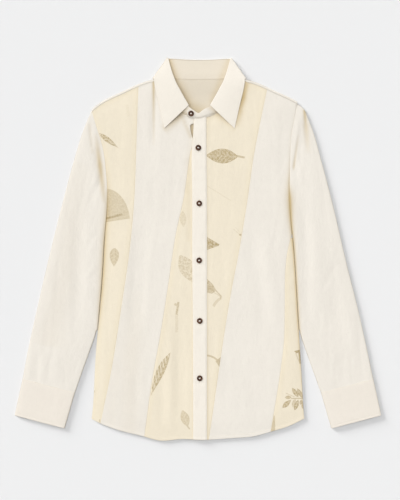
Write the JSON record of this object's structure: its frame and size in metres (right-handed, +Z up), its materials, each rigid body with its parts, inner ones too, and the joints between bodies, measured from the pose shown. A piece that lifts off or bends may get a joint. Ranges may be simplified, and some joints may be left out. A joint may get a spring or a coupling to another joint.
{
  "type": "long-sleeved shirt laid flat",
  "caption": "A long-sleeved cotton shirt laid flat, buttoned to the neck, in white and cream panels with small printed leaves and brown buttons.",
  "frame": {"origin": "middle of the shirt's outline in X and Y, on the surface that its back lies on", "axes": "+X to the wearer's left, +Y from the hem to the collar, +Z up from the back through the front"},
  "size_m": [0.7688, 0.8029, 0.0141],
  "materials": {
    "cotton_white": "matte plain weave",
    "cotton_cream": "matte plain weave",
    "cotton_collar": "matte plain weave, pressed",
    "button_brown": "semi-gloss"
  },
  "bodies": {
    "root": {"back": "cotton_white", "yoke": "cotton_white", "right_front_side": "cotton_cream", "right_front_middle": "cotton_white", "right_front_centre": "cotton_cream", "button_band": "cotton_collar", "left_front_centre": "cotton_cream", "left_front_middle": "cotton_white", "left_front_side": "cotton_cream", "placket": "cotton_collar", "collar_fall": "cotton_collar", "collar_stand": "cotton_collar", "right_sleeve": "cotton_white", "left_sleeve": "cotton_white", "right_cuff": "cotton_collar", "left_cuff": "cotton_collar", "button_1": "button_brown", "button_2": "button_brown", "button_3": "button_brown", "button_4": "button_brown", "button_5": "button_brown", "button_collar": "button_brown"}
  },
  "joints": []
}
